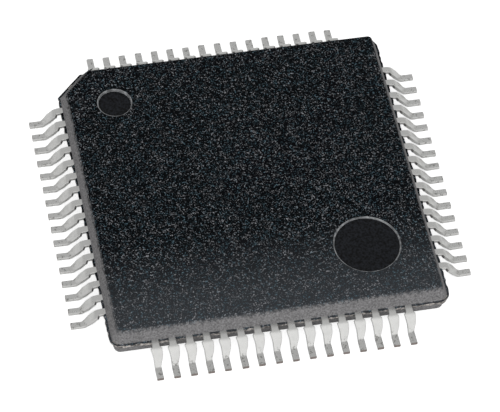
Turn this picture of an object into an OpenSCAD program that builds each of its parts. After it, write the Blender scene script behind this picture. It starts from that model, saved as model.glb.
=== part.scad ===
// Thin quad flat package with sixty-four gull-wing leads.
// Millimetres. X to the right, Y to the back, Z up. The lead feet rest on z = 0,
// and the origin is the centre of the seating plane.

/* [Moulded body] */
// Width of the moulded body across its parting line, each way
body_w = 10; // [9.8:0.1:10.2]
// Thickness of the moulded body, underside to top face
body_t = 1; // [0.96:0.02:1.1]
// Gap between the seating plane and the underside of the body
standoff = 0.06; // [0.05:0.01:0.15]
// How far the top face is set in from the parting line by its draft
top_inset = 0.2; // [0.1:0.02:0.22]
// How far the underside is set in from the parting line by its draft
base_inset = 0.12; // [0.08:0.02:0.22]
// Radius of the upright corners at the parting line
corner_r = 0.3; // [0.26:0.02:0.4]
// Length of the cut corner beside lead 1, along each side
index_chamfer = 0.78; // [0.6:0.02:0.9]
// Reach of the flash left between the leads at the parting line
flash_w = 0.05; // [0.02:0.01:0.05]

/* [Marks in the top face] */
// Diameter of the round dimple beside lead 1
dimple_d = 1; // [0.7:0.1:1.1]
// Depth of the round dimple
dimple_h = 0.08; // [0.04:0.01:0.1]
// Distance of the dimple from the centre, to the left and to the back
dimple_pos = 3.44; // [3.3:0.02:3.6]
// Diameter of the large ejector mark in the opposite corner
ejector_d = 1.95; // [1.4:0.05:2.2]
// Depth of the ejector mark
ejector_h = 0.04; // [0.02:0.01:0.06]
// Distance of the ejector mark from the centre, to the right and to the front
ejector_pos = 2.95; // [2.6:0.05:3.1]

/* [Leads] */
// Distance over the toes of opposite leads
span = 12; // [11.8:0.1:12.2]
// Spacing of neighbouring leads
pitch = 0.5; // [0.48:0.01:0.51]
// Thickness of the lead frame sheet
lead_t = 0.11; // [0.09:0.01:0.13]
// Width of a lead where it leaves the body
neck_w = 0.22; // [0.18:0.01:0.24]
// Width of the shoulder, where the dam bar was cut away
shoulder_w = 0.34; // [0.28:0.01:0.36]
// Width of a foot
foot_w = 0.2; // [0.17:0.01:0.24]
// Radius of the shoulder bend, to the middle of the sheet
shoulder_r = 0.25; // [0.2:0.01:0.26]
// Radius of the heel bend, to the middle of the sheet
heel_r = 0.13; // [0.12:0.01:0.16]
// Level length between the body's parting line and the shoulder bend
shoulder_l = 0.08; // [0.06:0.01:0.1]

/* [Lead frame inside the body] */
// Distance of the inner lead tips from the centre
inner_tip = 3.3; // [3.3:0.05:3.4]
// Spacing of the inner tips as a share of the pitch
fan_in = 0.76; // [0.74:0.01:0.78]
// Width of an inner lead tip
inner_w = 0.2; // [0.14:0.01:0.22]
// Width of the die pad, each way
pad_w = 5.8; // [4.8:0.1:5.8]
// How far the die pad is pressed down below the leads
pad_down = 0.14; // [0.1:0.01:0.16]
// Width of the four tie bars
tie_w = 0.2; // [0.15:0.01:0.22]

/* [Die and wires] */
// Width of the silicon die, each way
die_w = 4.6; // [4.5:0.05:4.7]
// Thickness of the silicon die
die_t = 0.25; // [0.2:0.01:0.26]
// Thickness of the adhesive under the die
glue_t = 0.03; // [0.02:0.005:0.04]
// Diameter of a bond wire
wire_d = 0.03; // [0.024:0.001:0.03]
// Rise of a wire's loop over the line between its two bonds
loop_h = 0.22; // [0.18:0.01:0.24]
// Diameter of the bonds at both ends of a wire
bond_d = 0.07; // [0.06:0.005:0.08]

/* [Hidden] */
$fn = 64;
leads_a_side = 16;
leads_a_node = 4;
half_w = body_w / 2;

// levels, from the seating plane up
mid_z = standoff + body_t / 2;
top_z = standoff + body_t;
frame_z = mid_z - lead_t / 2;
frame_top = frame_z + lead_t;
pad_z = frame_z - pad_down;
glue_z = pad_z + lead_t;
die_z = glue_z + glue_t;
die_top = die_z + die_t;

// side view of a lead: centres of its two bends, and the leg that is tangent to both;
// the leg drops 4 for each 3 that it runs outwards, a slope at which it meets both bends exactly
leg_drop = 4;
leg_run = 3;
bend_x = half_w + shoulder_l;
bend_z = mid_z - shoulder_r;
heel_z = lead_t / 2 + heel_r;
leg_a = atan2(leg_drop, leg_run);
leg_l = (bend_z - heel_z + (shoulder_r + heel_r) * cos(leg_a)) / sin(leg_a);
heel_x = bend_x + (shoulder_r + heel_r) * sin(leg_a) + leg_l * cos(leg_a);

// plan of a lead: where it fans, where the neck ends, where the shoulder is at its full width,
// and the tapers after it
fan_x = half_w - 0.45;
neck_to = bend_x + 0.09;
full_from = bend_x + 0.14;
full_to = bend_x + 0.24;
taper_to = bend_x + 0.34;
taper_w = 0.85 * shoulder_w;
foot_from = heel_x - 0.11;

// tie bars: overlap with the pad, and length of the slope up to the leads' level
tie_lap = 0.6;
tie_slope = 0.2;

// bonds: distance in from the die's edge, distance along the inner lead, and height
die_bond_x = die_w / 2 - 0.15;
lead_bond_x = inner_tip + 0.2;
die_pitch = (die_w - 0.55) / (leads_a_side - 1);
bond_h = 0.03;

// length that cuts right through what it meets
through = 2;

mould_black = [0.1, 0.1, 0.12];
tin = [0.8, 0.8, 0.78];
copper = [0.72, 0.45, 0.32];
silver_paste = [0.75, 0.75, 0.72];
silicon_grey = [0.35, 0.36, 0.42];
gold = [0.85, 0.68, 0.3];

// ---- places of the leads ----

// Turns a shape drawn with x outwards to the side that a lead number is on:
// 1 to 16 left, 17 to 32 front, 33 to 48 right, 49 to 64 back, counted against the clock.
module on_side_of(pin) {
    rotate([0, 0, 180 + 90 * floor((pin - 1) / leads_a_side)])
        children();
}

// place of a lead along its side, from the middle, in pitches
function place(pin) = (pin - 1) % leads_a_side - (leads_a_side - 1) / 2;

// ---- leads ----

// half of a lead's outline in plan, as [x, middle of the lead, half width]
function inner_outline(y) = [
    [inner_tip, fan_in * y, inner_w / 2],
    [fan_x, y, neck_w / 2],
    [bend_x, y, neck_w / 2]
];
function outer_outline(y) = [
    [neck_to, y, neck_w / 2],
    [full_from, y, shoulder_w / 2],
    [full_to, y, shoulder_w / 2],
    [taper_to, y, taper_w / 2],
    [foot_from, y, foot_w / 2],
    [span / 2, y, foot_w / 2]
];

// closes an outline on both sides of the lead's middle
module both_edges(outline) {
    last = len(outline) - 1;
    polygon(concat(
        [for (p = outline) [p[0], p[1] - p[2]]],
        [for (i = [last:-1:0]) [outline[i][0], outline[i][1] + outline[i][2]]]
    ));
}

// one bend of the sheet, as part of a ring
module bend(radius, from, turn) {
    reach = 2 * radius;
    intersection() {
        difference() {
            circle(radius + lead_t / 2);
            circle(radius - lead_t / 2);
        }
        polygon([
            [0, 0],
            [reach * cos(from), reach * sin(from)],
            [reach * cos(from + turn / 2), reach * sin(from + turn / 2)],
            [reach * cos(from + turn), reach * sin(from + turn)]
        ]);
    }
}

// side view of a lead: level inside the body, shoulder bend, leg, heel bend and foot
module lead_profile() {
    translate([inner_tip, frame_z])
        square([bend_x - inner_tip, lead_t]);
    translate([bend_x, bend_z])
        bend(shoulder_r, 90 - leg_a, leg_a);
    translate([bend_x + shoulder_r * sin(leg_a), bend_z + shoulder_r * cos(leg_a)])
        rotate(-leg_a)
            translate([0, -lead_t / 2])
                square([leg_l, lead_t]);
    translate([heel_x, heel_z])
        bend(heel_r, 270 - leg_a, leg_a);
    translate([heel_x, 0])
        square([span / 2 - heel_x, lead_t]);
}

// four neighbouring leads, from this number up
module leads(pin) {
    color(tin)
        on_side_of(pin)
            intersection() {
                rotate([90, 0, 0])
                    linear_extrude(height = body_w, center = true)
                        lead_profile();
                linear_extrude(height = through, center = true)
                    for (n = [0:leads_a_node - 1])
                        both_edges(concat(
                            inner_outline(place(pin + n) * pitch),
                            outer_outline(place(pin + n) * pitch)
                        ));
            }
}

// the room that the level part of every lead takes up in the moulding
module lead_slots() {
    translate([0, 0, frame_z])
        linear_extrude(height = lead_t)
            for (pin = [1:4 * leads_a_side])
                on_side_of(pin)
                    both_edges(inner_outline(place(pin) * pitch));
}

// ---- bond wires ----

// one bond wire: a bond on the die, a round loop and a bond on the inner lead
module wire(pin) {
    die_y = place(pin) * die_pitch;
    spread = fan_in + (1 - fan_in) * (lead_bond_x - inner_tip) / (fan_x - inner_tip);
    lead_y = place(pin) * pitch * spread;
    run = sqrt(pow(lead_bond_x - die_bond_x, 2) + pow(lead_y - die_y, 2));
    rise = frame_top - die_top;
    chord = sqrt(pow(run, 2) + pow(rise, 2));
    tilt = atan2(rise, run);
    radius = (pow(chord / 2, 2) + pow(loop_h, 2)) / (2 * loop_h);
    half_turn = asin(chord / 2 / radius);
    translate([die_bond_x, die_y, die_top])
        cylinder(d = bond_d, h = bond_h);
    translate([lead_bond_x, lead_y, frame_top])
        cylinder(d = bond_d, h = bond_h);
    translate([die_bond_x, die_y, die_top + bond_h / 2])
        rotate([0, 0, atan2(lead_y - die_y, lead_bond_x - die_bond_x)])
            rotate([90, 0, 0])
                translate([
                    run / 2 + (radius - loop_h) * sin(tilt),
                    rise / 2 - (radius - loop_h) * cos(tilt)
                ])
                    rotate(90 + tilt - half_turn)
                        rotate_extrude(angle = 2 * half_turn)
                            translate([radius, 0])
                                circle(d = wire_d);
}

// four neighbouring bond wires, from this number up
module wires(pin) {
    color(gold)
        on_side_of(pin)
            for (n = [0:leads_a_node - 1])
                wire(pin + n);
}

// ---- moulding ----

// everything on the inner side of the cut corner, which leans in more than the sides do
module index_cut(height, inset) {
    edge = (body_w - index_chamfer) / sqrt(2);
    rotate([0, 0, 135])
        rotate([90, 0, 0])
            linear_extrude(height = 2 * body_w, center = true)
                polygon([
                    [-body_w, 0], [edge, 0],
                    [edge - 1.5 * inset, height], [-body_w, height]
                ]);
}

// one drafted half of the moulding, from the parting plane to a face set in by inset
module half_mould(height, inset) {
    straight = half_w - corner_r;
    intersection() {
        union() {
            for (a = [0, 90])
                rotate([90, 0, a])
                    linear_extrude(height = 2 * straight, center = true)
                        polygon([
                            [-half_w, 0], [half_w, 0],
                            [half_w - inset, height], [inset - half_w, height]
                        ]);
            for (x = [-straight, straight])
                for (y = [-straight, straight])
                    translate([x, y, 0])
                        cylinder(r1 = corner_r, r2 = corner_r - inset, h = height);
        }
        index_cut(height, inset);
    }
}

// plan of the moulding at the parting line, grown outwards
module parting_plan(growth) {
    w = half_w + growth;
    r = corner_r + growth;
    cut = index_chamfer + (2 - sqrt(2)) * growth;
    difference() {
        union() {
            square([2 * (w - r), 2 * w], center = true);
            square([2 * w, 2 * (w - r)], center = true);
            for (x = [r - w, w - r])
                for (y = [r - w, w - r])
                    translate([x, y])
                        circle(r);
        }
        polygon([[-w - 1, w - cut - 1], [-w - 1, w + 1], [cut - w + 1, w + 1]]);
    }
}

// both halves and the flash between the leads, before anything is inside
module moulding() {
    translate([0, 0, mid_z]) {
        half_mould(body_t / 2, top_inset);
        mirror([0, 0, 1])
            half_mould(body_t / 2, base_inset);
        linear_extrude(height = lead_t, center = true)
            parting_plan(flash_w);
    }
}

// a round mark pressed into the top face
module top_mark(x, y, d, depth) {
    translate([x, y, top_z - depth])
        cylinder(d = d, h = through);
}

// ---- the pieces ----

// moulded body, with the room for all that is cast into it
module body() {
    color(mould_black)
        difference() {
            moulding();
            top_mark(-dimple_pos, dimple_pos, dimple_d, dimple_h);
            top_mark(ejector_pos, -ejector_pos, ejector_d, ejector_h);
            lead_slots();
            die_pad();
            die_adhesive();
            silicon_die();
            for (pin = [1:leads_a_node:4 * leads_a_side])
                wires(pin);
        }
}

// one tie bar along the diagonal, pressed down where it meets the pad
module tie_bar() {
    low = pad_w / sqrt(2);
    high = low + tie_slope;
    far_end = half_w * sqrt(2) + 1;
    rotate([90, 0, 0])
        linear_extrude(height = tie_w, center = true)
            polygon([
                [low - tie_lap, pad_z], [low + 0.05, pad_z],
                [high + 0.05, frame_z], [far_end, frame_z],
                [far_end, frame_top], [high, frame_top],
                [low, glue_z], [low - tie_lap, glue_z]
            ]);
}

// die pad with its four tie bars, one stamping cut off flush with the moulding
module die_pad() {
    color(copper) {
        translate([-pad_w / 2, -pad_w / 2, pad_z])
            cube([pad_w, pad_w, lead_t]);
        intersection() {
            for (a = [45:90:315])
                rotate([0, 0, a])
                    tie_bar();
            linear_extrude(height = through)
                parting_plan(0);
        }
    }
}

// film of adhesive between the pad and the die
module die_adhesive() {
    color(silver_paste)
        translate([-die_w / 2, -die_w / 2, glue_z])
            cube([die_w, die_w, glue_t]);
}

// the chip itself
module silicon_die() {
    color(silicon_grey)
        translate([-die_w / 2, -die_w / 2, die_z])
            cube([die_w, die_w, die_t]);
}

body();
die_pad();
die_adhesive();
silicon_die();
leads(1);  // leads_01_04
leads(5);  // leads_05_08
leads(9);  // leads_09_12
leads(13);  // leads_13_16
leads(17);  // leads_17_20
leads(21);  // leads_21_24
leads(25);  // leads_25_28
leads(29);  // leads_29_32
leads(33);  // leads_33_36
leads(37);  // leads_37_40
leads(41);  // leads_41_44
leads(45);  // leads_45_48
leads(49);  // leads_49_52
leads(53);  // leads_53_56
leads(57);  // leads_57_60
leads(61);  // leads_61_64
wires(1);  // wires_01_04
wires(5);  // wires_05_08
wires(9);  // wires_09_12
wires(13);  // wires_13_16
wires(17);  // wires_17_20
wires(21);  // wires_21_24
wires(25);  // wires_25_28
wires(29);  // wires_29_32
wires(33);  // wires_33_36
wires(37);  // wires_37_40
wires(41);  // wires_41_44
wires(45);  // wires_45_48
wires(49);  // wires_49_52
wires(53);  // wires_53_56
wires(57);  // wires_57_60
wires(61);  // wires_61_64
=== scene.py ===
"""Looks of a thin quad flat pack chip with 64 gull-wing leads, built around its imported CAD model."""

import math
import random

import bmesh
import bpy
from mathutils import Matrix, Vector, noise


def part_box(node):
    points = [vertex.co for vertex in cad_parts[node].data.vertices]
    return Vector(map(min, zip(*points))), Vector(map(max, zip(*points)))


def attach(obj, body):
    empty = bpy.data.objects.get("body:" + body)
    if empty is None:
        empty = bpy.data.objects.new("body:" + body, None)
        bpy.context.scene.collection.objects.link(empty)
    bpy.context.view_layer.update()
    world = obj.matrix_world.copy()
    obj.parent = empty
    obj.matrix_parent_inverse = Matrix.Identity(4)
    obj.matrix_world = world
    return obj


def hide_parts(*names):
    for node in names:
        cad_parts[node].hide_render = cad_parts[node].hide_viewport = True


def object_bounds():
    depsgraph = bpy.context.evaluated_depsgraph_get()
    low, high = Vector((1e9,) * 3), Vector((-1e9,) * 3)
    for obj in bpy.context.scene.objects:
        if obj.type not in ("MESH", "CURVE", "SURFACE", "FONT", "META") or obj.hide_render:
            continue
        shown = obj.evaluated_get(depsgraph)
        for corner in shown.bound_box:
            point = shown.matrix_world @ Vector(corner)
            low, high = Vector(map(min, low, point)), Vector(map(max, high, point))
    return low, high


bl_info = {
    "name": "Quad Flat Pack Chip",
    "version": (1, 0, 0),
    "blender": (4, 5, 0),
    "location": "3D View > Sidebar > Chip",
    "description": "Builds the moulded body and the 64 plated leads of a thin quad flat pack chip",
    "category": "Object",
}

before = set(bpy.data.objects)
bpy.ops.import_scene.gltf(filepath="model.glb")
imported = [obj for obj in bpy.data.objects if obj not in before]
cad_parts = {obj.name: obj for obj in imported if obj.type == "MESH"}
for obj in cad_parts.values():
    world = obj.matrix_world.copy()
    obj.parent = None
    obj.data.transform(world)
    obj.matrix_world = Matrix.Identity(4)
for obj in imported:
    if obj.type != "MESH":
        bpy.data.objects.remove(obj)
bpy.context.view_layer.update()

MM = 0.001
SIDES = 4
LEADS_A_SIDE = 16
LEADS_A_NODE = 4
LEADS = SIDES * LEADS_A_SIDE
BODY_LOW, BODY_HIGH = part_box("body")
TOE_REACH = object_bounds()[1].x
# radius of the burnished edges of the lead strip
EDGE_ROUND = 0.026
# half widths of a shoulder on its two hands, as shares of the nominal one, at four places down the leg;
# the dam bar punch left one hand wide for longer. Sides: left, front, right, back
_FRONT = ((0.97, 1.0), (0.86, 1.0), (0.72, 1.0), (0.62, 0.93))
_LEFT = ((0.72, 1.06), (0.76, 1.05), (0.85, 1.03), (0.92, 0.95))
_RIGHT = tuple((b, a) for a, b in _LEFT)
SHOULDERS = (_LEFT, _FRONT, _RIGHT, _FRONT)
# half widths at the top of the heel, as shares of the foot's
HEELS = ((1.3, 1.05), (0.93, 0.95), (1.05, 1.3), (0.93, 0.95))


def linear(hex_colour):
    """An sRGB hex colour as linear red, green, blue and alpha."""
    parts = [int(hex_colour[i : i + 2], 16) / 255 for i in (1, 3, 5)]
    return [c / 12.92 if c <= 0.04045 else ((c + 0.055) / 1.055) ** 2.4 for c in parts] + [1.0]


def length(name, description, millimetres):
    return bpy.props.FloatProperty(
        name=name,
        description=description,
        default=millimetres * MM,
        min=0.0,
        precision=6,
        subtype="DISTANCE",
        unit="LENGTH",
    )


def colour(name, description, hex_colour):
    return bpy.props.FloatVectorProperty(
        name=name,
        description=description,
        default=linear(hex_colour),
        size=4,
        min=0.0,
        max=1.0,
        subtype="COLOR",
    )


class ChipBodySizes(bpy.types.PropertyGroup):
    """Sizes of the moulded body."""

    width: length("Width", "Width across the parting line, without the flash", 10.0)
    top_inset: length("Top inset", "How far the draft sets the top face in", 0.2)
    base_inset: length("Base inset", "How far the draft sets the underside in", 0.12)
    corner: length("Corner radius", "Radius of the upright corners at the parting line", 0.3)
    index_cut: length("Index corner", "Length of the cut corner beside lead 1", 0.78)
    flash: length("Flash", "Reach of the flash at the parting line", 0.05)
    dimple: length("Dimple", "Diameter of the round dimple beside lead 1", 1.0)
    dimple_depth: length("Dimple depth", "Depth of the dimple", 0.08)
    dimple_place: length("Dimple place", "Distance of the dimple from both middles", 3.44)
    ejector: length("Ejector mark", "Diameter of the ejector mark", 1.95)
    ejector_depth: length("Ejector depth", "Depth of the ejector mark", 0.04)
    ejector_place: length("Ejector place", "Distance of the ejector mark from both middles", 2.95)


class ChipLeadSizes(bpy.types.PropertyGroup):
    """Sizes of the gull-wing leads."""

    pitch: length("Pitch", "Spacing of neighbouring leads", 0.5)
    sheet: length("Sheet", "Thickness of the lead frame sheet", 0.11)
    neck: length("Neck width", "Width where a lead leaves the body", 0.22)
    shoulder: length("Shoulder width", "Width where the dam bar was cut away", 0.34)
    foot: length("Foot width", "Width of a foot", 0.2)
    inner_tip: length("Inner tip", "Distance of the inner tips from the centre", 3.3)
    shoulder_bend: length("Shoulder bend", "Radius of the shoulder bend, to mid sheet", 0.25)
    heel_bend: length("Heel bend", "Radius of the heel bend, to mid sheet", 0.13)


class ChipColours(bpy.types.PropertyGroup):
    """Colours of the finishes."""

    top: colour("Top", "Coarse up-facing skin of the moulding", "#06080b")
    # The next two colours are painted highlights: short glints painted into the top skin, standing in for light off its
    # rough texture.
    top_glint_cool: colour("Top grit", "Cool light filler grains that show in the top", "#64808d")
    top_glint_pale: colour("Top sparks", "Pale filler grains that show in the top", "#b4b6bb")
    # The next colour makes the top lighter towards its front edge.
    top_front_edge: colour("Worn top", "Rubbed skin towards the front edge of the top", "#45484c")
    # The next colour is grey partly from the finer finish of the drafted sides and partly as painted sheen.
    side: colour("Sides", "Fine skin of the drafted sides", "#828182")
    flash: colour("Flash", "Torn flash at the parting line", "#777370")
    polished: colour("Marks", "Smooth floors of the two marks", "#15171b")
    # The next colour is a painted highlight: the lips and walls of the two marks are made paler to show bright rims.
    rim: colour("Rims", "Worn lips of the two marks", "#8c8e90")
    tin: colour("Tin", "Matt tin plating of the leads", "#e2e2e0")
    tarnish: colour("Tarnish", "Dull handling marks at the heels and feet", "#7d7c78")


# ---- helpers ----


def add_node(tree, kind, values=None, links=None, **settings):
    """Adds a node with its own settings, the values of its sockets and the links that come into it."""
    node = tree.nodes.new(kind)
    for name, value in settings.items():
        setattr(node, name, value)
    for socket, value in (values or {}).items():
        node.inputs[socket].default_value = value
    for socket, source in (links or {}).items():
        tree.links.new(source, node.inputs[socket])
    return node


def new_material(name):
    """An empty node material with Object coordinates in millimetres, as (material, tree, coordinates)."""
    material = bpy.data.materials.new(name)
    material.use_nodes = True
    tree = material.node_tree
    tree.nodes.clear()
    place = add_node(tree, "ShaderNodeTexCoord")
    millimetres = add_node(
        tree, "ShaderNodeMapping", values={"Scale": (1 / MM,) * 3}, links={"Vector": place.outputs["Object"]}
    )
    return material, tree, millimetres.outputs["Vector"]


def finish_material(tree, shader):
    add_node(tree, "ShaderNodeOutputMaterial", links={"Surface": shader.outputs["BSDF"]})


def piece_from(bm, name, materials):
    """Turns millimetres into metres, makes the mesh an object that rides on the part, and gives it its finishes."""
    bmesh.ops.scale(bm, vec=(MM,) * 3, verts=bm.verts)
    bmesh.ops.recalc_face_normals(bm, faces=bm.faces)
    mesh = bpy.data.meshes.new(name)
    bm.to_mesh(mesh)
    bm.free()
    mesh.shade_smooth()
    mesh.set_sharp_from_angle(angle=math.radians(22))
    for material in materials:
        mesh.materials.append(material)
    piece = bpy.data.objects.new(name, mesh)
    bpy.context.scene.collection.objects.link(piece)
    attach(piece, "root")
    return piece


# ---- materials ----


def moulding_material(colours):
    """Epoxy moulding compound, moulded in a spark-eroded tool.
    The up-facing skin is nearly black with short wavy painted glints, and lighter towards the front edge of the top;
    the drafted sides are finer and grey, the grey partly their finer finish and partly painted sheen, and the dark skin
    runs raggedly over their upper edge."""
    material, tree, place = new_material("epoxy_moulding_compound")
    # painted highlights: glints as strokes about 0.05 mm wide, coarser than the real texture so that they show
    waves = add_node(
        tree, "ShaderNodeTexNoise", values={"Scale": 11.0, "Detail": 2.0, "Roughness": 0.6, "Distortion": 0.8},
        links={"Vector": place},
    )
    grain = add_node(
        tree, "ShaderNodeTexNoise", values={"Scale": 19.0, "Detail": 2.0, "Roughness": 0.6}, links={"Vector": place}
    )
    tone = add_node(tree, "ShaderNodeTexNoise", values={"Scale": 8.0, "Detail": 1.0}, links={"Vector": place})
    centred = add_node(tree, "ShaderNodeMath", operation="SUBTRACT", values={1: 0.5}, links={0: waves.outputs["Fac"]})
    ridge = add_node(tree, "ShaderNodeMath", operation="ABSOLUTE", links={0: centred.outputs["Value"]})
    stroke = add_node(
        tree, "ShaderNodeMapRange", interpolation_type="SMOOTHSTEP",
        values={"From Min": 0.065, "From Max": 0.0, "To Min": 0.0, "To Max": 1.0}, links={"Value": ridge.outputs["Value"]},
    )
    broken = add_node(
        tree, "ShaderNodeMapRange", interpolation_type="SMOOTHSTEP",
        values={"From Min": 0.46, "From Max": 0.66, "To Min": 0.0, "To Max": 1.0}, links={"Value": grain.outputs["Fac"]},
    )
    glint = add_node(
        tree, "ShaderNodeMath", operation="MULTIPLY", links={0: stroke.outputs["Result"], 1: broken.outputs["Result"]}
    )
    hue = add_node(
        tree, "ShaderNodeMapRange", values={"From Min": 0.4, "From Max": 0.62, "To Min": 0.0, "To Max": 1.0},
        links={"Value": tone.outputs["Fac"]},
    )
    # painted highlights: the colour of the glints, between a cool and a pale tone
    glint_tint = add_node(
        tree, "ShaderNodeMix", data_type="RGBA", values={"A": colours.top_glint_cool, "B": colours.top_glint_pale},
        links={"Factor": hue.outputs["Result"]},
    )
    where = add_node(tree, "ShaderNodeSeparateXYZ", links={"Vector": place})
    # the top is made lighter towards its front edge
    front_edge_blend = add_node(
        tree, "ShaderNodeMapRange", interpolation_type="SMOOTHSTEP",
        values={"From Min": -1.6, "From Max": -5.0, "To Min": 0.0, "To Max": 0.75}, links={"Value": where.outputs["Y"]},
    )
    ground = add_node(
        tree, "ShaderNodeMix", data_type="RGBA", values={"A": colours.top, "B": colours.top_front_edge},
        links={"Factor": front_edge_blend.outputs["Result"]},
    )
    top = add_node(
        tree, "ShaderNodeMix", data_type="RGBA",
        links={"Factor": glint.outputs["Value"], "A": ground.outputs["Result"], "B": glint_tint.outputs["Result"]},
    )
    side_shade = add_node(
        tree, "ShaderNodeMapRange", values={"From Min": 0.3, "From Max": 0.7, "To Min": 0.6, "To Max": 1.4},
        links={"Value": grain.outputs["Fac"]},
    )
    side = add_node(
        tree, "ShaderNodeMix", data_type="RGBA", blend_type="MULTIPLY", values={"Factor": 1.0, "A": colours.side},
        links={"B": side_shade.outputs["Result"]},
    )
    # how far a point faces up, and how near it lies to the top, both made ragged by the waves; up-facing skin gets the
    # dark top colour and the rest the grey side colour, whose grey is partly the finer finish of the sides and partly
    # painted sheen
    normal = add_node(tree, "ShaderNodeNewGeometry")
    level = add_node(tree, "ShaderNodeSeparateXYZ", links={"Vector": normal.outputs["Normal"]})
    facing = add_node(
        tree, "ShaderNodeMath", operation="MULTIPLY_ADD", values={1: 0.7},
        links={0: centred.outputs["Value"], 2: level.outputs["Z"]},
    )
    up = add_node(
        tree, "ShaderNodeMapRange", interpolation_type="SMOOTHSTEP",
        values={"From Min": 0.45, "From Max": 0.85, "To Min": 0.0, "To Max": 1.0}, links={"Value": facing.outputs["Value"]},
    )
    height = add_node(
        tree, "ShaderNodeMath", operation="MULTIPLY_ADD", values={1: 0.45},
        links={0: centred.outputs["Value"], 2: where.outputs["Z"]},
    )
    near_top = add_node(
        tree, "ShaderNodeMapRange", interpolation_type="SMOOTHSTEP",
        values={"From Min": BODY_HIGH.z / MM - 0.15, "From Max": BODY_HIGH.z / MM - 0.02, "To Min": 0.0, "To Max": 0.75},
        links={"Value": height.outputs["Value"]},
    )
    dark = add_node(
        tree, "ShaderNodeMath", operation="MAXIMUM", links={0: up.outputs["Result"], 1: near_top.outputs["Result"]}
    )
    skin = add_node(
        tree, "ShaderNodeMix", data_type="RGBA",
        links={"Factor": dark.outputs["Value"], "A": side.outputs["Result"], "B": top.outputs["Result"]},
    )
    relief = add_node(
        tree, "ShaderNodeBump", values={"Strength": 0.6, "Distance": 0.01 * MM}, links={"Height": waves.outputs["Fac"]}
    )
    shader = add_node(
        tree, "ShaderNodeBsdfPrincipled",
        values={"Roughness": 0.62, "IOR": 1.5, "Specular IOR Level": 0.04},
        links={"Base Color": skin.outputs["Result"], "Normal": relief.outputs["Normal"]},
    )
    finish_material(tree, shader)
    return material


def mark_material(colours):
    """Moulding compound against a polished pin: smooth, dark and only faintly mottled."""
    material, tree, place = new_material("pin_polished_compound")
    mottle = add_node(tree, "ShaderNodeTexNoise", values={"Scale": 16.0, "Detail": 2.0}, links={"Vector": place})
    shade = add_node(
        tree, "ShaderNodeMapRange", values={"From Min": 0.35, "From Max": 0.65, "To Min": 0.1, "To Max": 2.0},
        links={"Value": mottle.outputs["Fac"]},
    )
    tint = add_node(
        tree, "ShaderNodeMix", data_type="RGBA", blend_type="MULTIPLY", values={"Factor": 1.0, "A": colours.polished},
        links={"B": shade.outputs["Result"]},
    )
    shader = add_node(
        tree, "ShaderNodeBsdfPrincipled", values={"Roughness": 0.5, "IOR": 1.5, "Specular IOR Level": 0.15},
        links={"Base Color": tint.outputs["Result"]},
    )
    finish_material(tree, shader)
    return material


def flash_material(colours):
    """Torn resin flash: brownish and uneven, with pale spots that are painted highlights; its dark upper ledge comes
    from the moulding material.
    """
    material, tree, place = new_material("resin_flash")
    lumps = add_node(
        tree, "ShaderNodeTexNoise", values={"Scale": 8.0, "Detail": 4.0, "Roughness": 0.75}, links={"Vector": place}
    )
    # painted highlights: pale spots on the flash
    pale = add_node(
        tree, "ShaderNodeMapRange", interpolation_type="SMOOTHSTEP",
        values={"From Min": 0.38, "From Max": 0.66, "To Min": 0.3, "To Max": 3.2}, links={"Value": lumps.outputs["Fac"]},
    )
    tint = add_node(
        tree, "ShaderNodeMix", data_type="RGBA", blend_type="MULTIPLY", values={"Factor": 1.0, "A": colours.flash},
        links={"B": pale.outputs["Result"]},
    )
    shader = add_node(
        tree, "ShaderNodeBsdfPrincipled", values={"Roughness": 0.4, "IOR": 1.5, "Specular IOR Level": 0.5},
        links={"Base Color": tint.outputs["Result"]},
    )
    finish_material(tree, shader)
    return material


def lip_highlight_material(colours):
    """Lips and walls of the pressed marks, made paler than the skin around them as a painted highlight."""
    material, tree, place = new_material("mark_lip_painted_highlight")
    highlight_mottle = add_node(tree, "ShaderNodeTexNoise", values={"Scale": 6.0, "Detail": 3.0}, links={"Vector": place})
    shade = add_node(
        tree, "ShaderNodeMapRange", values={"From Min": 0.35, "From Max": 0.65, "To Min": 0.45, "To Max": 1.5},
        links={"Value": highlight_mottle.outputs["Fac"]},
    )
    tint = add_node(
        tree, "ShaderNodeMix", data_type="RGBA", blend_type="MULTIPLY", values={"Factor": 1.0, "A": colours.rim},
        links={"B": shade.outputs["Result"]},
    )
    shader = add_node(
        tree, "ShaderNodeBsdfPrincipled", values={"Roughness": 0.45, "IOR": 1.5, "Specular IOR Level": 0.4},
        links={"Base Color": tint.outputs["Result"]},
    )
    finish_material(tree, shader)
    return material


def tin_material(colours):
    """Matt tin, plated on copper: a soft neutral mirror, clean on the legs, with dark handling marks at the feet."""
    material, tree, place = new_material("matt_tin_plating")
    patches = add_node(
        tree, "ShaderNodeTexNoise", values={"Scale": 9.0, "Detail": 3.0, "Roughness": 0.65}, links={"Vector": place}
    )
    spots = add_node(
        tree, "ShaderNodeMapRange", interpolation_type="SMOOTHSTEP",
        values={"From Min": 0.54, "From Max": 0.66, "To Min": 0.0, "To Max": 1.0}, links={"Value": patches.outputs["Fac"]},
    )
    where = add_node(tree, "ShaderNodeSeparateXYZ", links={"Vector": place})
    low = add_node(
        tree, "ShaderNodeMapRange", interpolation_type="SMOOTHSTEP",
        values={"From Min": 0.3, "From Max": 0.13, "To Min": 0.04, "To Max": 0.7}, links={"Value": where.outputs["Z"]},
    )
    dull = add_node(
        tree, "ShaderNodeMath", operation="MULTIPLY", links={0: spots.outputs["Result"], 1: low.outputs["Result"]}
    )
    tint = add_node(
        tree, "ShaderNodeMix", data_type="RGBA", values={"A": colours.tin, "B": colours.tarnish},
        links={"Factor": dull.outputs["Value"]},
    )
    rough = add_node(
        tree, "ShaderNodeMapRange", values={"From Min": 0.3, "From Max": 0.7, "To Min": 0.24, "To Max": 0.4},
        links={"Value": patches.outputs["Fac"]},
    )
    shader = add_node(
        tree, "ShaderNodeBsdfPrincipled", values={"Metallic": 1.0},
        links={"Base Color": tint.outputs["Result"], "Roughness": rough.outputs["Result"]},
    )
    finish_material(tree, shader)
    return material


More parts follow.
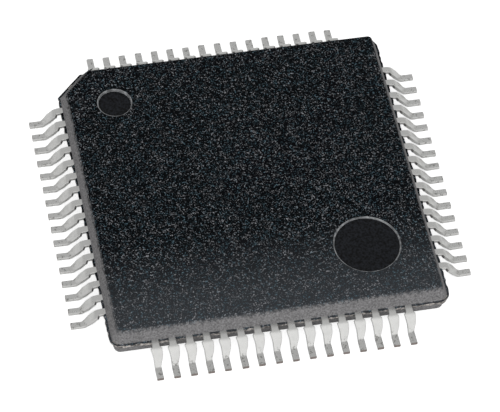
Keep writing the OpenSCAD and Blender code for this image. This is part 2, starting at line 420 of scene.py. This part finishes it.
def grained_metal(name, hex_a, hex_b, scale, roughness, metallic=1.0):
    """Rolled or plated metal whose colour varies softly over its grain."""
    material, tree, place = new_material(name)
    grain = add_node(tree, "ShaderNodeTexNoise", values={"Scale": scale, "Detail": 3.0}, links={"Vector": place})
    tint = add_node(
        tree, "ShaderNodeMix", data_type="RGBA", values={"A": linear(hex_a), "B": linear(hex_b)},
        links={"Factor": grain.outputs["Fac"]},
    )
    shader = add_node(
        tree, "ShaderNodeBsdfPrincipled", values={"Metallic": metallic, "Roughness": roughness},
        links={"Base Color": tint.outputs["Result"]},
    )
    finish_material(tree, shader)
    return material


# ---- shapes, in millimetres ----


def draw_in(bm, ring, scale, drop, centre):
    """Copies a ring of edges, shrinks the copy about a centre, lowers it, and returns its edges."""
    made = bmesh.ops.extrude_edge_only(bm, edges=ring)["geom"]
    verts = [g for g in made if isinstance(g, bmesh.types.BMVert)]
    ring = [g for g in made if isinstance(g, bmesh.types.BMEdge) and all(v in verts for v in g.verts)]
    bmesh.ops.scale(bm, vec=(scale, scale, 1), verts=verts, space=Matrix.Translation(-centre))
    bmesh.ops.translate(bm, vec=(0, 0, -drop), verts=verts)
    return ring


def pressed_mark(bm, x, y, diameter, depth, top_z):
    """A round recess with a small rounded lip, and returns the ring where it meets the top face."""
    lip, steps = 0.03, 3
    centre = Vector((x, y, top_z))
    outer = diameter / 2 + lip
    verts = bmesh.ops.create_circle(
        bm, cap_ends=False, segments=96, radius=outer, matrix=Matrix.Translation(centre)
    )["verts"]
    rim = list({e for v in verts for e in v.link_edges})
    ring, radius, fallen = rim, outer, 0.0
    walls = set()
    for step in range(1, steps + 1):
        turn = math.pi / 2 * step / steps
        new_radius, new_fall = outer - lip * math.sin(turn), lip * (1 - math.cos(turn))
        ring = draw_in(bm, ring, new_radius / radius, new_fall - fallen, centre)
        radius, fallen = new_radius, new_fall
        walls.update(f for e in ring for f in e.link_faces)
    ring = draw_in(bm, ring, (radius - 0.012) / radius, depth - fallen, centre)
    walls.update(f for e in ring for f in e.link_faces)
    floor = bmesh.ops.edgeloop_fill(bm, edges=ring)["faces"]
    return rim, walls, floor


def body_mesh(sizes, sheet):
    """The moulding in one skin: drafted halves, rounded edges, cut corner, flash and two pressed marks."""
    bm = bmesh.new()
    base_z, top_z = BODY_LOW.z / MM, BODY_HIGH.z / MM
    flash = sizes.flash / MM
    half = sizes.width / MM / 2
    growth = half + flash
    skin = 0.002
    low, high = (base_z + top_z - sheet) / 2 + skin, (base_z + top_z + sheet) / 2 - skin
    bmesh.ops.create_grid(bm, x_segments=1, y_segments=1, size=growth)
    bm.verts.ensure_lookup_table()
    index = min(bm.verts, key=lambda v: v.co.x - v.co.y)
    bmesh.ops.bevel(
        bm, geom=[v for v in bm.verts if v is not index], affect="VERTICES",
        offset=sizes.corner / MM + flash, segments=8, profile=0.5, material=-1,
    )
    index = min(bm.verts, key=lambda v: v.co.x - v.co.y)
    bmesh.ops.bevel(
        bm, geom=[index], affect="VERTICES", offset=sizes.index_cut / MM + (2 - math.sqrt(2)) * flash,
        segments=1, profile=0.5, material=-1,
    )
    bmesh.ops.subdivide_edges(bm, edges=[e for e in bm.edges if e.calc_length() > 2], cuts=180)
    bmesh.ops.translate(bm, vec=(0, 0, low), verts=bm.verts)
    underside = bm.faces[:][0]
    made = bmesh.ops.extrude_face_region(bm, geom=[underside])["geom"]
    bmesh.ops.translate(bm, vec=(0, 0, high - low), verts=[g for g in made if isinstance(g, bmesh.types.BMVert)])
    cap = next(g for g in made if isinstance(g, bmesh.types.BMFace))
    bmesh.ops.recalc_face_normals(bm, faces=bm.faces)
    flash_faces = [f for f in bm.faces if abs(f.normal.z) < 0.5]

    upper_draft = sizes.top_inset / MM / ((top_z - base_z) / 2)
    lower_draft = sizes.base_inset / MM / ((top_z - base_z) / 2)
    at_flash = sheet / 2
    for face, draft, level in ((cap, upper_draft, top_z), (underside, lower_draft, base_z)):
        start = high if face is cap else low
        bmesh.ops.inset_region(
            bm, faces=[face], thickness=flash + draft * at_flash, depth=0, use_even_offset=True, use_boundary=True
        )
        bmesh.ops.inset_region(
            bm, faces=[face], thickness=draft * abs(level - start), depth=0, use_even_offset=True, use_boundary=True
        )
        for v in face.verts:
            v.co.z = level
        lean = draft * abs(level - start) / 2 * math.sqrt(2)
        ends = [v for v in face.verts if v.co.y - v.co.x > 2 * half - sizes.index_cut / MM - 2.2 * draft - 0.1 and v.co.x < -half / 2]
        for v in ends:
            on_left = v.co.x + half < half - v.co.y
            v.co += Vector((0, -lean, 0)) if on_left else Vector((lean, 0, 0))
        bm.normal_update()
        bmesh.ops.bevel(
            bm, geom=list(face.edges), affect="EDGES", offset=0.07 if face is cap else 0.05, segments=4, profile=0.5,
            material=-1, clamp_overlap=False,
        )
    bm.normal_update()

    # ragged flash: the torn outer edge wanders in and out between the leads
    inner = growth - sizes.corner / MM - flash
    for v in {v for f in flash_faces for v in f.verts}:
        away = Vector((v.co.x - max(-inner, min(inner, v.co.x)), v.co.y - max(-inner, min(inner, v.co.y)), 0))
        wander = noise.noise(v.co * 7.0) * 0.03 + noise.noise(v.co * 23.0) * 0.012 - 0.012
        v.co += away.normalized() * wander
        if v.co.z > (low + high) / 2:
            v.co.z -= 0.012 + 0.014 * noise.noise(v.co * 13.0)
        else:
            v.co.z += 0.012 + 0.014 * noise.noise(v.co * 13.0)

    # the two pressed marks, and the top face between them and its edge
    top = max(bm.faces, key=lambda f: f.calc_area() if f.calc_center_median().z > top_z - 0.001 else 0)
    outline = list(top.edges)
    bmesh.ops.delete(bm, geom=[top], context="FACES_ONLY")
    floors, walls, rims = [], [], []
    for x, y, diameter, depth in (
        (-sizes.dimple_place, sizes.dimple_place, sizes.dimple, sizes.dimple_depth),
        (sizes.ejector_place, -sizes.ejector_place, sizes.ejector, sizes.ejector_depth),
    ):
        rim, wall, floor = pressed_mark(bm, x / MM, y / MM, diameter / MM, depth / MM, top_z)
        rims += rim
        walls += wall
        floors += floor
    bmesh.ops.triangle_fill(bm, edges=outline + rims, use_beauty=True, normal=(0, 0, 1))
    for face in floors:
        face.material_index = 1
    # painted highlight: the walls and lips of the marks take the paler lip material
    for face in walls:
        face.material_index = 3
    bm.normal_update()
    for face in flash_faces:
        face.material_index = 2
    return bm


def lead_mesh(sizes, side, place, tip_place, vary):
    """One gull-wing lead, drawn with x outwards: a rounded strip that is carried along its bends."""
    sheet, inner_tip = sizes.sheet / MM, sizes.inner_tip / MM
    shoulder_bend, heel_bend = sizes.shoulder_bend / MM, sizes.heel_bend / MM
    base_z, top_z = BODY_LOW.z / MM, BODY_HIGH.z / MM
    mid_z, half, reach = (base_z + top_z) / 2, 5.0, TOE_REACH / MM
    slope = math.atan2(4, 3)
    neck, foot = sizes.neck / MM / 2, sizes.foot / MM / 2
    bend_x, bend_z = half + 0.08, mid_z - shoulder_bend
    heel_z = sheet / 2 + heel_bend
    leg = (bend_z - heel_z + (shoulder_bend + heel_bend) * math.cos(slope)) / math.sin(slope)
    heel_x = bend_x + (shoulder_bend + heel_bend) * math.sin(slope) + leg * math.cos(slope)

    bm = bmesh.new()
    bmesh.ops.create_grid(bm, x_segments=1, y_segments=1, size=0.5, matrix=Matrix.Rotation(-math.pi / 2, 4, "Y"))
    bmesh.ops.scale(bm, vec=(1, 2 * neck, sheet), verts=bm.verts)
    bmesh.ops.bevel(
        bm, geom=bm.verts[:], affect="VERTICES", offset=EDGE_ROUND, segments=3, profile=0.5, material=-1
    )
    bmesh.ops.translate(bm, vec=(inner_tip, tip_place, mid_z), verts=bm.verts)
    ring = bm.edges[:]
    level, middle = 0.0, tip_place
    widths = [neck, neck]

    def widen(verts, to):
        for hand, group in enumerate(([v for v in verts if v.co.y < middle], [v for v in verts if v.co.y > middle])):
            push = to[hand] - widths[hand]
            bmesh.ops.translate(bm, vec=(0, push if hand else -push, 0), verts=group)
        widths[:] = to

    def run(distance, to, sideways=0.0):
        nonlocal ring, middle
        made = bmesh.ops.extrude_edge_only(bm, edges=ring)["geom"]
        verts = [g for g in made if isinstance(g, bmesh.types.BMVert)]
        bmesh.ops.translate(
            bm, vec=(distance * math.cos(level), sideways, -distance * math.sin(level)), verts=verts
        )
        middle += sideways
        widen(verts, to)
        ring = [g for g in made if isinstance(g, bmesh.types.BMEdge) and all(v in verts for v in g.verts)]

    def turn(centre_x, centre_z, angle, steps, to):
        nonlocal ring, level
        start = list(widths)
        for step in range(1, steps + 1):
            made = bmesh.ops.spin(
                bm, geom=ring, cent=(centre_x, place, centre_z), axis=(0, 1, 0), angle=angle / steps, steps=1,
                use_merge=False, use_duplicate=False,
            )["geom_last"]
            ring = [g for g in made if isinstance(g, bmesh.types.BMEdge)]
            part = [a + (b - a) * step / steps for a, b in zip(start, to)]
            widen([g for g in made if isinstance(g, bmesh.types.BMVert)], part)
        level += angle

    def wide(station):
        """Both half widths at a station of the shoulder, a little different on every lead."""
        return [sizes.shoulder / MM / 2 * share * vary.uniform(0.97, 1.03) for share in SHOULDERS[side][station]]

    necks, feet = [neck, neck], [foot, foot]
    neck_turn, full_turn = math.asin(0.09 / shoulder_bend), math.asin(0.14 / shoulder_bend)
    run(half - 0.45 - inner_tip, necks, place - tip_place)
    run(bend_x - half + 0.45, necks)
    turn(bend_x, bend_z, neck_turn, 4, necks)
    turn(bend_x, bend_z, full_turn - neck_turn, 3, wide(0))
    turn(bend_x, bend_z, slope - full_turn, 3, wide(1))
    run(0.11, wide(2))
    run(0.11, wide(3))
    run(leg - 0.22, [foot * share for share in HEELS[side]])
    turn(heel_x, heel_z, -slope / 2, 5, [foot * share for share in HEELS[side]])
    turn(heel_x, heel_z, -slope / 2 - vary.uniform(0.0, 0.03), 5, feet)
    run(reach - heel_x - 0.008 - vary.uniform(0.0, 0.02), feet)
    toe = bmesh.ops.edgeloop_fill(bm, edges=ring)["faces"]
    for face in toe:
        face.material_index = 1
    return bm


# ---- operators ----


class CHIP_OT_body(bpy.types.Operator):
    """Builds the moulded body with its flash and pressed marks"""

    bl_idname = "chip.body"
    bl_label = "Moulded Body"

    def execute(self, context):
        scene = context.scene
        bm = body_mesh(scene.chip_body, scene.chip_leads.sheet / MM)
        colours = scene.chip_colours
        finishes = [
            moulding_material(colours), mark_material(colours), flash_material(colours), lip_highlight_material(colours)
        ]
        body = piece_from(bm, "moulded_body", finishes)
        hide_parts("body")
        return {"FINISHED"}


class CHIP_OT_leads(bpy.types.Operator):
    """Builds the 64 plated leads, each a piece of its own"""

    bl_idname = "chip.leads"
    bl_label = "Leads"

    def execute(self, context):
        scene = context.scene
        sizes = scene.chip_leads
        finishes = [
            tin_material(scene.chip_colours),
            grained_metal("sheared_end", "#86807d", "#aea29d", 14.0, 0.45),
        ]
        for number in range(1, LEADS + 1):
            vary = random.Random(number)
            side, order = divmod(number - 1, LEADS_A_SIDE)
            place = (order - (LEADS_A_SIDE - 1) / 2) * sizes.pitch / MM
            bm = lead_mesh(sizes, side, place, 0.76 * place, vary)
            twist = Matrix.Rotation(math.radians(vary.uniform(-0.5, 0.5)), 4, "Z")
            root = Matrix.Translation((5.0, place, 0))
            bmesh.ops.transform(bm, matrix=root @ twist @ root.inverted(), verts=[v for v in bm.verts if v.co.x > 5.02])
            bmesh.ops.rotate(bm, matrix=Matrix.Rotation(math.pi + side * math.pi / 2, 3, "Z"), verts=bm.verts)
            lead = piece_from(bm, f"lead_{number:02d}", finishes)
            first = (number - 1) // LEADS_A_NODE * LEADS_A_NODE + 1
            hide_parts(f"leads_{first:02d}_{first + LEADS_A_NODE - 1:02d}")
        return {"FINISHED"}


class CHIP_OT_inside(bpy.types.Operator):
    """Finishes what is cast into the body: die pad, adhesive, die and bond wires"""

    bl_idname = "chip.inside"
    bl_label = "Die and Wires"

    def execute(self, context):
        finishes = {
            "die_pad": grained_metal("silver_flashed_copper_alloy", "#a29d96", "#bdb8b0", 8.0, 0.4),
            "die_adhesive": grained_metal("silver_filled_epoxy", "#a7a7a2", "#c4c4bf", 30.0, 0.6, 0.6),
            "silicon_die": grained_metal("polished_silicon", "#4d505a", "#5d606c", 3.0, 0.2, 0.5),
            "wires": grained_metal("drawn_gold_wire", "#d9a94a", "#e8bf66", 40.0, 0.25),
        }
        for name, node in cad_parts.items():
            kind = "wires" if name.startswith("wires") else name
            if kind in finishes:
                node.material_slots[0].material = finishes[kind]
        return {"FINISHED"}


class CHIP_OT_stage(bpy.types.Operator):
    """Sets up the pale floor, the soft light and the camera"""

    bl_idname = "chip.stage"
    bl_label = "Floor, Light and Camera"

    def execute(self, context):
        scene = context.scene
        scene.view_settings.view_transform = "Standard"
        bm = bmesh.new()
        bmesh.ops.create_grid(bm, x_segments=1, y_segments=1, size=1.0)
        bmesh.ops.translate(bm, vec=(0, 0, -0.005 * MM), verts=bm.verts)
        mesh = bpy.data.meshes.new("floor")
        bm.to_mesh(mesh)
        bm.free()
        floor = bpy.data.objects.new("floor", mesh)
        scene.collection.objects.link(floor)
        paper = bpy.data.materials.new("white_paper")
        paper.use_nodes = True
        tree = paper.node_tree
        tree.nodes.clear()
        path = add_node(tree, "ShaderNodeLightPath")
        mirrored = add_node(
            tree, "ShaderNodeMath", operation="MAXIMUM",
            links={0: path.outputs["Is Glossy Ray"], 1: path.outputs["Is Transmission Ray"]},
        )
        faint = add_node(tree, "ShaderNodeMath", operation="MULTIPLY", values={1: 0.15}, links={0: mirrored.outputs["Value"]})
        lift = add_node(
            tree, "ShaderNodeMath", operation="MULTIPLY_ADD", values={1: 0.75},
            links={0: path.outputs["Is Camera Ray"], 2: faint.outputs["Value"]},
        )
        matt = add_node(tree, "ShaderNodeBsdfDiffuse", values={"Color": linear("#efefef")})
        glow = add_node(tree, "ShaderNodeEmission", links={"Strength": lift.outputs["Value"]})
        both = add_node(tree, "ShaderNodeAddShader", links={0: matt.outputs["BSDF"], 1: glow.outputs["Emission"]})
        add_node(tree, "ShaderNodeOutputMaterial", links={"Surface": both.outputs["Shader"]})
        mesh.materials.append(paper)

        world = bpy.data.worlds.new("soft_studio")
        scene.world = world
        world.use_nodes = True
        tree = world.node_tree
        tree.nodes.clear()
        way = add_node(tree, "ShaderNodeTexCoord")
        # the room is bright in front and duller at the sides and the back
        parts = add_node(tree, "ShaderNodeSeparateXYZ", links={"Vector": way.outputs["Generated"]})
        level = add_node(
            tree, "ShaderNodeMapRange", interpolation_type="SMOOTHSTEP",
            values={"From Min": -0.95, "From Max": 0.05, "To Min": 1.2, "To Max": 0.64}, links={"Value": parts.outputs["Y"]},
        )
        sky = add_node(tree, "ShaderNodeBackground", links={"Strength": level.outputs["Result"]})
        add_node(tree, "ShaderNodeOutputWorld", links={"Surface": sky.outputs["Background"]})

        self.lamp("front_softbox", Vector((-0.05, -0.26, 0.11)), 0.22, 1.0)

        lens = bpy.data.cameras.new("camera")
        lens.lens = 232.18
        lens.sensor_width = 36.0
        lens.clip_start, lens.clip_end = 0.001, 10.0
        camera = bpy.data.objects.new("camera", lens)
        scene.collection.objects.link(camera)
        camera.location = Vector((-15.32, -56.059, 77.299)) * MM
        camera.rotation_euler = [math.radians(a) for a in (36.717, -2.936, -11.46)]
        scene.camera = camera
        return {"FINISHED"}

    def lamp(self, name, place, size, radiance):
        """A square area lamp that faces the middle of the part; radiance 1 looks white."""
        light = bpy.data.lights.new(name, "AREA")
        light.shape = "SQUARE"
        light.size = size
        light.energy = radiance * math.pi * size * size
        lamp = bpy.data.objects.new(name, light)
        lamp.location = place
        lamp.rotation_euler = place.to_track_quat("Z", "Y").to_euler()
        lamp.visible_camera = False
        lamp.visible_glossy = False
        bpy.context.scene.collection.objects.link(lamp)


class CHIP_PT_panel(bpy.types.Panel):
    """Sizes, colours and builders of the chip"""

    bl_idname = "CHIP_PT_panel"
    bl_label = "Quad Flat Pack Chip"
    bl_space_type = "VIEW_3D"
    bl_region_type = "UI"
    bl_category = "Chip"

    def draw(self, context):
        scene = context.scene
        for group in (scene.chip_body, scene.chip_leads, scene.chip_colours):
            box = self.layout.box()
            for name in group.__annotations__:
                box.prop(group, name)
        for operator in OPERATORS:
            self.layout.operator(operator.bl_idname)


GROUPS = {"chip_body": ChipBodySizes, "chip_leads": ChipLeadSizes, "chip_colours": ChipColours}
OPERATORS = (CHIP_OT_body, CHIP_OT_leads, CHIP_OT_inside, CHIP_OT_stage)


def register():
    for cls in (*GROUPS.values(), *OPERATORS, CHIP_PT_panel):
        bpy.utils.register_class(cls)
    for name, group in GROUPS.items():
        setattr(bpy.types.Scene, name, bpy.props.PointerProperty(type=group))


def unregister():
    for name in GROUPS:
        delattr(bpy.types.Scene, name)
    for cls in (CHIP_PT_panel, *reversed(OPERATORS), *reversed(list(GROUPS.values()))):
        bpy.utils.unregister_class(cls)


def main():
    register()
    bpy.ops.chip.body()
    bpy.ops.chip.leads()
    bpy.ops.chip.inside()
    bpy.ops.chip.stage()


if __name__ == "__main__":
    main()
